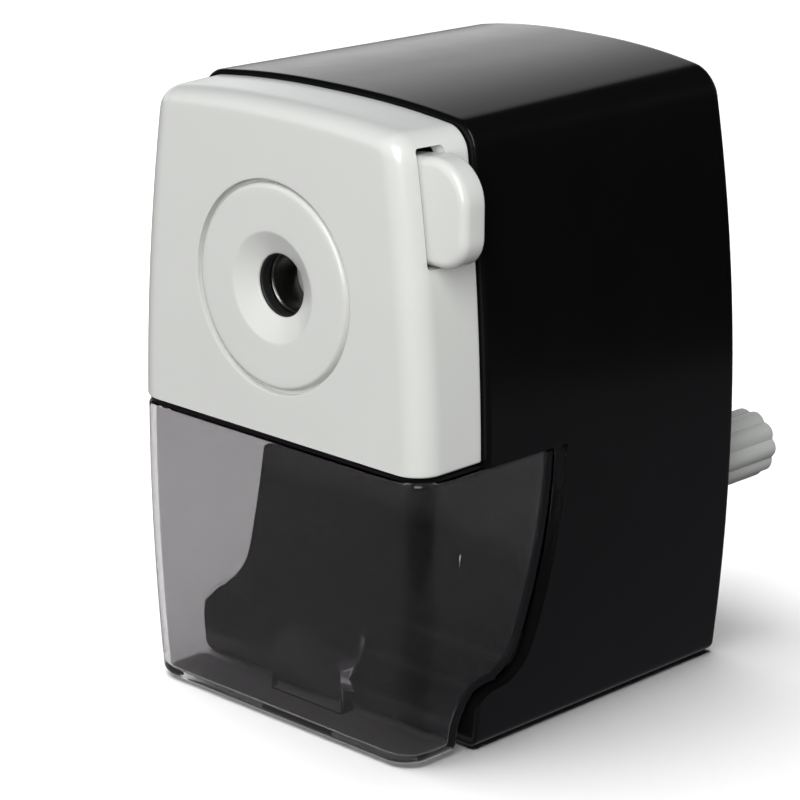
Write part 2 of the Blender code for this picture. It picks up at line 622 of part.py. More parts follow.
def build_clamp(mat_plate, mat_jaw, mat_bush, mat_steel):
    """Black bush, steel guide tube, and two jaws that slide apart on the clamp plate."""
    bush_y = FRONT_Y + COVER_WALL + 0.15 * MM
    add_object("hole_bush", tube_y(6.7 * MM, 4.7 * MM, bush_y, bush_y + 1.8 * MM), mat_bush)
    tube_y0 = bush_y + 2.0 * MM
    tube_y1 = -26.3 * MM
    profile = [(5.9 * MM, tube_y0), (5.9 * MM, tube_y0 + 0.5 * MM), (4.9 * MM, tube_y0 + 0.5 * MM),
               (4.9 * MM, tube_y1), (4.4 * MM, tube_y1), (4.4 * MM, tube_y0 + 0.4 * MM),
               (4.7 * MM, tube_y0)]
    add_object("guide_tube", lathe_y(profile, 40, (0, HOLE_Z)), mat_steel)

    plate_y = (-27.9 * MM, -26.4 * MM)
    rail_back = CHASSIS_FRONT_Y - GAP
    low, high = HOLE_Z - 9.0 * MM, HOLE_Z + 9.0 * MM
    half = 17.5 * MM
    plate = add_object("clamp_plate", box((-half, plate_y[0], low), (half, plate_y[1], high)),
                       mat_plate)
    for number, (z0, z1) in enumerate(((low, low + 2.4 * MM), (high - 2.4 * MM, high))):
        rail = box((-half, plate_y[1] - 0.5 * MM, z0), (half, rail_back, z1))
        combine(plate, rail, "UNION", f"rail_{number}")
    combine(plate, cylinder_y(5.2 * MM, plate_y[0] - MM, plate_y[1] + MM, 32, (0, HOLE_Z)),
            "DIFFERENCE", "tube_hole")
    notch = 4.2 * MM
    edge = 0.4 * MM
    for side, name in ((-1, "jaw_left"), (1, "jaw_right")):
        outline = [(13 * MM, -6 * MM), (13 * MM, 6 * MM), (edge, 6 * MM), (edge, notch),
                   (edge + notch, 0), (edge, -notch), (edge, -6 * MM)]
        outline = [(side * x, HOLE_Z + z) for x, z in outline]
        add_object(name, loft_y([(-26.0 * MM, outline), (-23.4 * MM, outline)]), mat_jaw)


# Rotating parts --------------------------------------------------------------------------

def cutter_frame():
    """Matrix from the cutter's own axis (local Z, towards the back) to the object."""
    radial = Vector((math.cos(CUTTER_ANGLE), 0, math.sin(CUTTER_ANGLE)))
    along = (Vector((0, 1, 0)) * math.cos(CUTTER_TILT) - radial * math.sin(CUTTER_TILT)).normalized()
    outward = (radial - along * radial.dot(along)).normalized()
    sideways = along.cross(outward)
    turn = Matrix((outward, sideways, along)).transposed().to_4x4()
    place = Vector((0, PINION_Y, HOLE_Z)) + radial * CUTTER_OFFSET
    return Matrix.Translation(place) @ turn


def toothed_bar(outline_at, stations):
    """Solid along local Z through the outlines that outline_at gives for each station."""
    bm = bmesh.new()
    rings = [[bm.verts.new((x, y, z)) for x, y in outline_at(z)] for z in stations]
    for a, b in zip(rings, rings[1:]):
        for i in range(len(a)):
            j = (i + 1) % len(a)
            bm.faces.new((a[i], a[j], b[j], b[i]))
    bm.faces.new(rings[0])
    bm.faces.new(list(reversed(rings[-1])))
    bmesh.ops.recalc_face_normals(bm, faces=bm.faces)
    return bm


def local_cylinder(radius, z0, z1, count=20):
    bm = cylinder_y(radius, z0, z1, count)
    bm.transform(Matrix.Rotation(math.pi / 2, 4, "X"))
    return bm


def cut_pin_hole(target, end):
    """Bore for the cutter's pin along the cutter's axis, up to end."""
    hole = local_cylinder(PIN_BORE_RADIUS, -10 * MM, end)
    hole.transform(cutter_frame())
    combine(target, hole, "DIFFERENCE", "pin_hole")


def build_cutter(mat_cutter, mat_pinion, mat_steel):
    """Helical cutter and its pinion, turning on a slanted pin."""
    frame = cutter_frame()
    flutes = 10
    start = 2.0 * MM
    length = 23.0 * MM
    twist_rate = math.radians(50) / length

    def fluted(z):
        turn = twist_rate * z
        points = []
        for i in range(flutes):
            for share, radius in ((0.0, CUTTER_RADIUS), (0.34, CUTTER_RADIUS - 0.15 * MM),
                                  (0.5, CUTTER_RADIUS - 0.85 * MM), (0.9, CUTTER_RADIUS - 0.8 * MM)):
                angle = turn + math.tau * (i + share) / flutes
                points.append((radius * math.cos(angle), radius * math.sin(angle)))
        return points

    mill_bm = toothed_bar(fluted, [start + length * i / 8 for i in range(9)])
    mill_bm.transform(frame)
    cut_pin_hole(add_object("helical_cutter", mill_bm, mat_cutter, 30), 40 * MM)

    teeth = gear_outline(PINION_TEETH, MODULE * PINION_TEETH / 2, 0.9 * MM, 0.45 * MM)
    pinion_bm = toothed_bar(lambda z: teeth, (-1.1 * MM, 1.1 * MM))
    pinion_bm.transform(frame)
    cut_pin_hole(add_object("cutter_pinion", pinion_bm, mat_pinion, 30), 40 * MM)

    pin = local_cylinder(1.45 * MM, -4.0 * MM, 28.4 * MM)
    pin.transform(frame)
    add_object("cutter_pin", pin, mat_steel)


def build_carrier(mat):
    """Cage that the crank turns: front ring, back disc, two posts and a hub."""
    front = (-21.0 * MM, -19.2 * MM)
    back = (9.6 * MM, 12.4 * MM)
    radius = 13.4 * MM
    inner = SHAFT_RADIUS + GAP
    hub = [(inner, back[0]), (radius, back[0]), (radius, back[1]), (5.5 * MM, back[1]),
           (5.5 * MM, 17.5 * MM), (inner, 17.5 * MM)]
    ring = [(radius, front[0]), (radius, front[1]), (5.2 * MM, front[1]), (5.2 * MM, front[0])]
    bodies = join([lathe_y(profile, 40, (0, HOLE_Z)) for profile in (hub, ring)])
    carrier = add_object("cutter_carrier", bodies, mat)
    for number, swing in enumerate((-125, 125)):
        angles = [CUTTER_ANGLE + math.radians(swing + d) for d in (-24, -12, 0, 12, 24)]
        outline = arc_points((0, HOLE_Z), radius - 0.1 * MM, angles)
        outline += arc_points((0, HOLE_Z), 10.2 * MM, reversed(angles))
        post = loft_y([(front[1] - 0.8 * MM, outline), (back[0] + MM, outline)])
        combine(carrier, post, "UNION", f"post_{number}")
    cut_pin_hole(carrier, 28.9 * MM)


def crank_end():
    return (CRANK_RADIUS * math.sin(CRANK_ANGLE), HOLE_Z - CRANK_RADIUS * math.cos(CRANK_ANGLE))


def build_crank(mat_plastic, mat_steel, mat_bush):
    """Shaft, bearing bush, arm and fastening screw behind the shell."""
    shaft = [(0, 9.4 * MM), (SHAFT_RADIUS, 9.4 * MM), (SHAFT_RADIUS, 42.0 * MM),
             (1.4 * MM, 42.0 * MM), (1.4 * MM, 34.0 * MM), (0, 34.0 * MM)]
    add_object("crank_shaft", lathe_y(shaft, 24, (0, HOLE_Z)), mat_steel)
    bush = [(5.7 * MM, 31.5 * MM), (5.7 * MM, 36.2 * MM), (8.5 * MM, 36.2 * MM), (8.5 * MM, 37.2 * MM),
            (7.9 * MM, 37.8 * MM), (2.8 * MM, 37.8 * MM), (2.8 * MM, 31.5 * MM)]
    add_object("rear_bush", lathe_y(bush, 32, (0, HOLE_Z)), mat_bush)

    end = crank_end()
    arm_y = (38.2 * MM, 41.8 * MM)
    down = -math.pi / 2 + CRANK_ANGLE
    hub = arc_points((0, HOLE_Z), 7.0 * MM, [down + math.radians(d) for d in range(45, 316, 15)])
    tip = arc_points(end, 5.6 * MM, [down + math.radians(d) for d in range(-90, 91, 15)])
    arm = add_object("crank_arm", loft_y([(y, hub + tip) for y in arm_y]), mat_plastic)
    round_edges(arm, 0.7 * MM, 2, 60)
    for label, place, radius in (("shaft_hole", (0, HOLE_Z), SHAFT_RADIUS + GAP),
                                 ("pin_hole", end, KNOB_BORE_RADIUS)):
        combine(arm, cylinder_y(radius, arm_y[0] - MM, arm_y[1] + MM, 24, place), "DIFFERENCE", label)
    add_object("crank_washer", tube_y(4.8 * MM, 1.6 * MM, 42.15 * MM, 42.75 * MM, 28), mat_steel)
    add_screw("crank_screw", Vector((0, 44.4 * MM, HOLE_Z)), Vector((0, -1, 0)), 3.6 * MM,
              1.5 * MM, 9.0 * MM, mat_steel)

    add_knob(end, mat_plastic)
    pin = [(0, 38.4 * MM), (2.0 * MM, 38.4 * MM), (2.0 * MM, 56.7 * MM), (3.2 * MM, 56.7 * MM),
           (3.2 * MM, 57.2 * MM), (2.4 * MM, 57.7 * MM), (0, 57.7 * MM)]
    add_object("knob_pin", lathe_y(pin, 20, end), mat_steel)


def add_knob(end, mat):
    """Fluted grip that turns on its pin at the end of the arm."""
    per_lobe = 6
    count = KNOB_LOBES * per_lobe

    def fluted(scale):
        points = []
        for i in range(count):
            angle = math.tau * i / count
            lobe = abs(math.cos(KNOB_LOBES * angle / 2))
            radius = (KNOB_RADIUS - KNOB_LOBE_DEPTH * (1 - lobe)) * scale
            points.append((end[0] + radius * math.cos(angle), end[1] + radius * math.sin(angle)))
        return points

    edge = 0.6 * MM
    sections = [(KNOB_START_Y, fluted(0.9)), (KNOB_START_Y + edge, fluted(1.0)),
                (KNOB_END_Y - edge, fluted(1.0)), (KNOB_END_Y, fluted(0.9))]
    knob = add_object("crank_knob", loft_y(sections), mat, 35)
    bore = lathe_y([(0, 40 * MM), (KNOB_BORE_RADIUS, 40 * MM), (KNOB_BORE_RADIUS, 56.4 * MM),
                    (3.6 * MM, 56.4 * MM), (3.6 * MM, 60 * MM), (0, 60 * MM)], 24, end)
    combine(knob, bore, "DIFFERENCE", "pin_bore")


def main():
    for obj in list(bpy.data.objects):
        bpy.data.objects.remove(obj, do_unlink=True)
    black = material("black_gloss", (0.012, 0.012, 0.013), 0.22)
    dark = material("black_matte", (0.02, 0.02, 0.021), 0.55)
    light = material("light_grey_gloss", (0.70, 0.71, 0.68), 0.2)
    grey = material("mid_grey_plastic", (0.36, 0.38, 0.36), 0.4)
    smoked = material("smoked_clear", (0.10, 0.095, 0.10), 0.05, alpha=0.45)
    steel = material("steel", (0.55, 0.55, 0.54), 0.3, 1.0)
    cutter_steel = material("cutter_steel", (0.35, 0.35, 0.36), 0.35, 1.0)
    white = material("white_nylon", (0.75, 0.75, 0.72), 0.45)
    rubber = material("rubber", (0.03, 0.03, 0.03), 0.8)

    build_housing(black)
    build_base(dark, rubber, steel)
    build_cover(light)
    build_button(light, steel)
    build_drawer(smoked)
    build_chassis(dark, white, steel)
    build_clamp(dark, grey, dark, steel)
    build_cutter(cutter_steel, white, steel)
    build_carrier(dark)
    build_crank(grey, steel, dark)


main()
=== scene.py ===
"""Finished looks of the crank pencil sharpener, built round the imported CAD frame.

Lengths inside the builders are in millimetres in the frame's axes (+Z up, front towards -Y) and
become metres when a mesh is made.
"""

import json
import math

import bmesh
import bpy
from mathutils import Matrix, Vector


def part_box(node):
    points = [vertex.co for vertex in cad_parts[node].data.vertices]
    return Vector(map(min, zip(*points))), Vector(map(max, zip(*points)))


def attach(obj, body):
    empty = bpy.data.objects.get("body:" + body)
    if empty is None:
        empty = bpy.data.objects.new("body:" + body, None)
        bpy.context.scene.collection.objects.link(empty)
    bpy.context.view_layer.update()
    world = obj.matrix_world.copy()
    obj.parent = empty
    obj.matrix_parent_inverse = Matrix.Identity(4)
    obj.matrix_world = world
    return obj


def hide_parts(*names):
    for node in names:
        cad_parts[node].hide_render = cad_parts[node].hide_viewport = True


MM = 0.001
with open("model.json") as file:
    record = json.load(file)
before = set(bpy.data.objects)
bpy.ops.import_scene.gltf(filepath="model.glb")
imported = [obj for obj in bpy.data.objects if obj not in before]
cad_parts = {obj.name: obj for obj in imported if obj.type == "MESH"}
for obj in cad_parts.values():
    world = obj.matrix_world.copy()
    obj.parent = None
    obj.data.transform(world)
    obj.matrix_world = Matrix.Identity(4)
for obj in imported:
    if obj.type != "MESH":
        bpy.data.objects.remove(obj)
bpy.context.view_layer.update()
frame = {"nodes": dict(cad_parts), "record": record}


def box_mm(node):
    """Lowest and highest corner of a CAD node, in millimetres."""
    low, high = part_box(node)
    return low / MM, high / MM


COVER_LOW, COVER_HIGH = box_mm("front_cover")
_, SHELL_HIGH = box_mm("housing")
BUTTON_LOW, BUTTON_HIGH = box_mm("release_button")
DRAWER_LOW, DRAWER_HIGH = box_mm("drawer")
KNOB_LOW, KNOB_HIGH = box_mm("crank_knob")
ARM_LOW, ARM_HIGH = box_mm("crank_arm")
RING_LOW, RING_HIGH = box_mm("ring_gear")

# Overall shape
HALF_WIDTH = SHELL_HIGH.x
FRONT_Y = COVER_LOW.y
BACK_Y = SHELL_HIGH.y
STAND = DRAWER_LOW.z
TOP_Z = SHELL_HIGH.z
LOWER_BULGE = 3.8
BULGE_REACH = 50.0
BULGE_Z = 41.4
ARCH_POWER = 2.35
FOOT_RADIUS = 1.5
WALL = 2.0
GAP = 0.3
FRONT_STEP = 1.2
TOP_STEP = 0.75

# Cover
COVER_BACK_Y = COVER_HIGH.y + GAP
COVER_BOTTOM = COVER_LOW.z
COVER_WALL = 2.2
COVER_ROUND = 4.2
AXIS_Z = (RING_LOW.z + RING_HIGH.z) / 2
HOLE_RADIUS = 4.95
DISH_RADIUS = 8.7
DISH_DEPTH = 1.9
GROOVE_INNER = 16.05
GROOVE_OUTER = 16.75
GROOVE_DEPTH = 1.4
COVER_POSTS = ((-24.5, 70.0), (24.5, 66.0), (0.0, 94.0))
POST_BACK_Y = -22.9

# Sizes that change from front to back, as (y, size) stations
UPPER_BULGE = ((FRONT_Y + COVER_ROUND, 3.8), (COVER_BACK_Y, 2.9), (BACK_Y, 4.6))
TOP_ARCH = ((COVER_BACK_Y, 2.6), (BACK_Y, 4.0))
CROWN_RADIUS = ((FRONT_Y + COVER_ROUND, 3.4), (COVER_BACK_Y, 3.2), (BACK_Y, 3.8))

# Drawer and the S-curve
DRAWER_TOP = DRAWER_HIGH.z
DRAWER_WALL = 1.1
DRAWER_ROUND = 4.6
SILL = DRAWER_TOP + GAP
SEAM_GAP = 1.1
LEDGE_ROUND = 5.0
BOSS_RADIUS = 8.0
BOSS_FRONT_Y = -28.9
RIB_RADIUS = 0.35
RIB_Y = -26.4
RIB_LOW_Z = 33.5
RIB_LENGTH = 12.0

# Crank
CRANK_END = ((KNOB_LOW.x + KNOB_HIGH.x) / 2, (KNOB_LOW.z + KNOB_HIGH.z) / 2)
KNOB_LOBES = 10
HUB_RADIUS = 7.0
TIP_RADIUS = 5.6
HUB_BORE = 2.8
KNOB_BORE = 2.3
ON_AXIS = 0.01


# Shape helpers ---------------------------------------------------------------

def size_at(stations, y):
    """Size at y, from (y, size) stations that run from front to back."""
    y = min(max(y, stations[0][0]), stations[-1][0])
    for (y0, first), (y1, second) in zip(stations, stations[1:]):
        if y <= y1:
            return first + (second - first) * (y - y0) / (y1 - y0)


def half_width(z, y=FRONT_Y):
    """Half the barrel's width at height z."""
    bulge = size_at(UPPER_BULGE, y) if z > BULGE_Z else LOWER_BULGE
    return HALF_WIDTH - bulge * ((z - BULGE_Z) / BULGE_REACH) ** 2


def top_height(x, y):
    """Height of the arched top at x."""
    return TOP_Z - size_at(TOP_ARCH, y) * (abs(x) / HALF_WIDTH) ** ARCH_POWER


def bend(start, corner, end, steps):
    """Points of a smooth corner that leaves along one side and arrives along the other."""
    pull = 0.552
    first = [s + (c - s) * pull for s, c in zip(start, corner)]
    second = [e + (c - e) * pull for e, c in zip(end, corner)]
    points = []
    for i in range(steps + 1):
        t = i / steps
        weights = ((1 - t) ** 3, 3 * t * (1 - t) ** 2, 3 * t * t * (1 - t), t ** 3)
        points.append(tuple(sum(w * p[k] for w, p in zip(weights, (start, first, second, end)))
                            for k in range(2)))
    return points


def spread(start, end, steps):
    """Points after start on the straight way to end."""
    return [tuple(s + (e - s) * i / steps for s, e in zip(start, end)) for i in range(1, steps + 1)]


def mirrored(right):
    """Close a half outline that starts and ends at x = 0."""
    return right + [(-x, other) for x, other in reversed(right[1:-1])]


def barrel(y, inset, bottom, foot, crown, top_inset=None, top=None):
    """Barrel section at y, moved in by inset, from the bottom's middle round the right side."""
    top_inset = inset if top_inset is None else top_inset

    def side(z):
        return half_width(z, y) - inset

    def ceiling(x):
        return top_height(x, y) - top_inset if top is None else top

    corner_x = side(TOP_Z)
    for _ in range(12):
        corner_x = side(ceiling(corner_x))
    corner = (corner_x, ceiling(corner_x))
    low = bottom + foot
    high = corner[1] - crown
    foot_x = side(bottom) - foot
    inner_x = corner_x - crown
    right = [(0.0, bottom)] + spread((0.0, bottom), (foot_x, bottom), 30)
    right += bend((foot_x, bottom), (side(bottom), bottom), (side(low), low), 10)[1:]
    right += [(side(z), z) for z in (low + (high - low) * i / 40 for i in range(1, 41))]
    right += bend((side(high), high), corner, (inner_x, ceiling(inner_x)), 12)[1:]
    right += [(x, ceiling(x)) for x in (inner_x * (1 - i / 26) for i in range(1, 27))]
    return at_y(y, mirrored(right))


def at_y(y, outline):
    """Put an (x, z) outline at y."""
    return [(x, y, z) for x, z in outline]


def skin(rings, close="caps"):
    """Vertices and faces of a tube through rings of points: capped, or closed on itself."""
    count = len(rings[0])
    verts = [p for ring in rings for p in ring]
    faces = []
    pairs = len(rings) if close == "loop" else len(rings) - 1
    for r in range(pairs):
        a, b = r * count, ((r + 1) % len(rings)) * count
        faces += [(a + i, a + (i + 1) % count, b + (i + 1) % count, b + i) for i in range(count)]
    if close == "caps":
        faces.append(tuple(range(count)))
        faces.append(tuple(len(verts) - 1 - i for i in range(count)))
    return verts, faces


def make(name, geometry, smooth=32.0):
    """Mesh object from (vertices in mm, faces), with faces out and smooth below the angle."""
    verts, faces = geometry
    bm = bmesh.new()
    made = [bm.verts.new((x * MM, y * MM, z * MM)) for x, y, z in verts]
    for face in faces:
        bm.faces.new([made[i] for i in face])
    bmesh.ops.remove_doubles(bm, verts=bm.verts, dist=1e-7)
    bmesh.ops.recalc_face_normals(bm, faces=bm.faces)
    if bm.calc_volume(signed=True) < 0:
        bmesh.ops.reverse_faces(bm, faces=bm.faces)
    mesh = bpy.data.meshes.new(name)
    bm.to_mesh(mesh)
    bm.free()
    obj = bpy.data.objects.new(name, mesh)
    bpy.context.scene.collection.objects.link(obj)
    shade(obj, smooth)
    return obj


def shade(obj, smooth=32.0):
    """Smooth shading, with sharp edges above the angle."""
    obj.data.shade_smooth()
    obj.data.set_sharp_from_angle(angle=math.radians(smooth))


def settle(obj):
    """Make the modifiers' result the object's own mesh."""
    graph = bpy.context.evaluated_depsgraph_get()
    mesh = bpy.data.meshes.new_from_object(obj.evaluated_get(graph))
    obj.modifiers.clear()
    obj.data = mesh


def combine(target, tools, operation, smooth=32.0):
    """Cut, join or intersect the target with tool objects, which are then removed."""
    for tool in tools:
        modifier = target.modifiers.new("combine", "BOOLEAN")
        modifier.operation = operation
        modifier.solver = "EXACT"
        modifier.object = tool
        settle(target)
        bpy.data.objects.remove(tool)
    shade(target, smooth)


def prism_x(name, outline, x0, x1):
    """Solid between x0 and x1 with a (y, z) outline."""
    return make(name, skin([[(x, y, z) for y, z in outline] for x in (x0, x1)]))


def prism_y(name, outline, y0, y1):
    """Solid between y0 and y1 with an (x, z) outline."""
    return make(name, skin([at_y(y0, outline), at_y(y1, outline)]))


def block(name, low, high):
    """Box between two corners, for cutting and joining."""
    outline = [(low[0], low[2]), (high[0], low[2]), (high[0], high[2]), (low[0], high[2])]
    return prism_y(name, outline, low[1], high[1])


def turned(profile, count, center=(0.0, AXIS_Z), close="loop"):
    """Rings of a (radius, y) profile turned round an axis along Y."""
    rings = []
    for radius, y in profile:
        angles = [math.tau * i / count for i in range(count)]
        rings.append([(center[0] + radius * math.cos(a), y, center[1] + radius * math.sin(a))
                      for a in angles])
    return skin(rings, close)


def rounded_profile(points, radius, steps=4):
    """Round every corner of a closed (radius, y) profile."""
    result = []
    for i, corner in enumerate(points):
        before, after = points[i - 1], points[(i + 1) % len(points)]
        to_before = Vector(before) - Vector(corner)
        to_after = Vector(after) - Vector(corner)
        cut = min(radius, to_before.length * 0.45, to_after.length * 0.45)
        start = tuple(Vector(corner) + to_before.normalized() * cut)
        end = tuple(Vector(corner) + to_after.normalized() * cut)
        result += bend(start, corner, end, steps)
    return result


def turned_solid(profile, radius, steps, count, center=(0.0, AXIS_Z)):
    """Solid turned from a profile that starts and ends beside the axis, with rounded corners."""
    return turned(rounded_profile(profile, radius, steps)[steps:-steps], count, center, "caps")


def inset_outline(outline, distance):
    """Move a convex outline in by distance."""
    count = len(outline)
    area = sum(outline[i - 1][0] * outline[i][1] - outline[i][0] * outline[i - 1][1]
               for i in range(count))
    sign = 1 if area > 0 else -1
    moved = []
    for i, point in enumerate(outline):
        along = Vector(outline[(i + 1) % count]) - Vector(outline[i - 1])
        along.normalize()
        moved.append((point[0] - sign * along.y * distance, point[1] + sign * along.x * distance))
    return moved


def rounded_slab(outline, y0, y1, front_round, back_round, steps=6):
    """Rings of a flat body between y0 and y1 with both rims rounded."""
    rings = []
    for i in range(steps + 1):
        a = math.pi / 2 * (1 - i / steps)
        rings.append(at_y(y0 + front_round * (1 - math.sin(a)),
                          inset_outline(outline, front_round * (1 - math.cos(a)))))
    for i in range(steps + 1):
        a = math.pi / 2 * i / steps
        rings.append(at_y(y1 - back_round * (1 - math.sin(a)),
                          inset_outline(outline, back_round * (1 - math.cos(a)))))
    return rings


def seam(distance):
    """Side view (y, z) of the S-curve, moved forward by distance, from the sill to the foot."""
    points = [(-4.9 - 0.0164 * (46.6 - z) ** 1.71, z) for z in
              (46.6 - (46.6 - 15.6) * i / 24 for i in range(25))]
    points += bend((-11.2, 14.6), (-12.7, 9.9), (-17.6, 9.6), 14)
    points += bend((-18.5, 9.55), (-23.6, 9.3), (-24.0, 4.0), 14)
    points += [(-24.15, 2.0), (-24.3, 0.0)]
    moved = []
    for i, (y, z) in enumerate(points):
        y0, z0 = points[max(i - 1, 0)]
        y1, z1 = points[min(i + 1, len(points) - 1)]
        length = math.hypot(y1 - y0, z1 - z0)
        place = (y + (z1 - z0) / length * distance, z - (y1 - y0) / length * distance)
        if not moved or (place[1] < moved[-1][1] - 1e-4 and place[0] <= moved[-1][0] + 1e-4):
            moved.append(place)
    return moved


def stretched(points, high, low):
    """The seam's points with straight ends up to high and down to low."""
    return [(points[0][0] + 0.2, high)] + points[1:-1] + [(points[-1][0], low)]


# Materials ---------------------------------------------------------------------

NOISE_LOW = 0.3
NOISE_HIGH = 0.7
GRAIN_DEPTH = 0.00002


class Nodes:
    """Small wrapper round a material's node tree."""

    def __init__(self, name):
        self.material = bpy.data.materials.new(name)
        self.material.use_nodes = True
        self.tree = self.material.node_tree
        self.shader = self.tree.nodes["Principled BSDF"]
        self.place = self.tree.nodes.new("ShaderNodeTexCoord").outputs["Object"]

    def set(self, **values):
        """Set the shader's own sockets."""
        for key, value in values.items():
            self.shader.inputs[key.replace("_", " ")].default_value = value

    def add(self, kind, links=(), **values):
        """New node with set values and links into it."""
        node = self.tree.nodes.new(kind)
        for key, value in values.items():
            node.inputs[key.replace("_", " ")].default_value = value
        for key, source in links:
            self.tree.links.new(source, node.inputs[key])
        return node

    def noise(self, scale, detail, stretch=None):
        """Noise over the object's own coordinates, stretched along the axes if asked."""
        source = self.place
        if stretch:
            mapping = self.add("ShaderNodeMapping", [("Vector", source)])
            mapping.inputs["Scale"].default_value = stretch
            source = mapping.outputs["Vector"]
        node = self.add("ShaderNodeTexNoise", [("Vector", source)], Scale=scale, Detail=detail)
        return node.outputs["Fac"]

    def remap(self, source, low, high):
        """Carry a noise's usual range to low and high."""
        node = self.tree.nodes.new("ShaderNodeMapRange")
        node.inputs["From Min"].default_value = NOISE_LOW
        node.inputs["From Max"].default_value = NOISE_HIGH
        node.inputs["To Min"].default_value = low
        node.inputs["To Max"].default_value = high
        self.tree.links.new(source, node.inputs["Value"])
        return node.outputs["Result"]

    def colors(self, source, dark, light):
        """Colour ramp from dark to light over a noise's usual range."""
        node = self.tree.nodes.new("ShaderNodeValToRGB")
        stops = ((NOISE_LOW, dark), (NOISE_HIGH, light))
        for element, (position, color) in zip(node.color_ramp.elements, stops):
            element.position = position
            element.color = (*color, 1.0)
        self.tree.links.new(source, node.inputs["Fac"])
        return node.outputs["Color"]

    def link(self, source, socket):
        """Drive one of the shader's sockets."""
        self.tree.links.new(source, self.shader.inputs[socket])

    def bump(self, source, strength, distance):
        """Fine relief on the shader's normal."""
        node = self.add("ShaderNodeBump", [("Height", source)], Strength=strength, Distance=distance)
        self.tree.links.new(node.outputs["Normal"], self.shader.inputs["Normal"])


def moulded(name, color, roughness, specular, vary=0.04, grain=2600.0, grain_strength=0.05,
            gloss_spread=0.05):
    """Moulded plastic: faint cloudy colour, uneven gloss and a very fine skin texture."""
    m = Nodes(name)
    m.set(Specular_IOR_Level=specular)
    cloud = m.noise(55.0, 4.0)
    dark = tuple(c * (1 - vary) for c in color)
    light = tuple(min(1.0, c * (1 + vary)) for c in color)
    m.link(m.colors(cloud, dark, light), "Base Color")
    smear = m.noise(160.0, 5.0, stretch=(1.0, 1.0, 0.35))
    m.link(m.remap(smear, max(0.02, roughness - gloss_spread), roughness + gloss_spread), "Roughness")
    m.bump(m.noise(grain, 2.0), grain_strength, GRAIN_DEPTH)
    return m.material


def smoked(name):
    """Tinted clear polystyrene with faint moulding haze."""
    m = Nodes(name)
    m.set(Transmission_Weight=1.0, IOR=1.3)
    flow = m.noise(14.0, 2.0)
    m.link(m.colors(flow, (0.450, 0.440, 0.448), (0.475, 0.465, 0.473)), "Base Color")
    m.link(m.remap(flow, 0.0, 0.012), "Roughness")
    return m.material


def metal(name, color, roughness, stretch=(1.0, 40.0, 1.0)):
    """Ground or plated steel with fine tool marks."""
    m = Nodes(name)
    m.set(Metallic=1.0)
    marks = m.noise(900.0, 3.0, stretch=stretch)
    dark = tuple(c * 0.86 for c in color)
    m.link(m.colors(marks, dark, color), "Base Color")
    m.link(m.remap(marks, roughness - 0.06, roughness + 0.08), "Roughness")
    m.bump(marks, 0.15, GRAIN_DEPTH)
    return m.material


FINISH = {
    "black_gloss": moulded("black_gloss_shell", (0.0036, 0.0035, 0.0037), roughness=0.2,
                           specular=0.15, vary=0.1, grain_strength=0.03, gloss_spread=0.012),
    "black_matte": moulded("black_matte_parts", (0.012, 0.012, 0.012), roughness=0.5,
                           specular=0.4, vary=0.15, grain=1500.0, grain_strength=0.15),
    "light_grey_gloss": moulded("light_grey_cover", (0.66, 0.67, 0.645), roughness=0.22,
                                specular=0.45, vary=0.012, gloss_spread=0.01),
    # Painted shade: the arm and knob take a darker grey than the cover's light grey, standing in for
    # the shade they sit in
    "mid_grey_plastic": moulded("crank_grey_painted_shade", (0.47, 0.48, 0.46), roughness=0.42,
                                specular=0.4, vary=0.03, grain=1800.0, grain_strength=0.12),
    "smoked_clear": smoked("smoked_drawer"),
    "steel": metal("plated_steel", (0.60, 0.60, 0.585), roughness=0.28),
    "dull_steel": metal("dull_guide_steel", (0.17, 0.165, 0.155), roughness=0.3),
    "cutter_steel": metal("ground_steel", (0.40, 0.40, 0.41), roughness=0.34),
    "white_nylon": moulded("white_nylon_gears", (0.72, 0.72, 0.68), roughness=0.45,
                           specular=0.4, vary=0.03, grain=1500.0, grain_strength=0.1),
    "rubber": moulded("rubber_pad", (0.02, 0.02, 0.02), roughness=0.8,
                      specular=0.3, vary=0.2, grain=900.0, grain_strength=0.4),
}


def place(obj, body, slot, *nodes, finish=None):
    """Give a piece its material, its body and the CAD nodes it stands for."""
    obj.data.materials.clear()
    obj.data.materials.append(FINISH[finish or slot])
    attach(obj, body)
    if nodes:
        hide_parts(*nodes)
    return obj


# Shell and cover -----------------------------------------------------------------

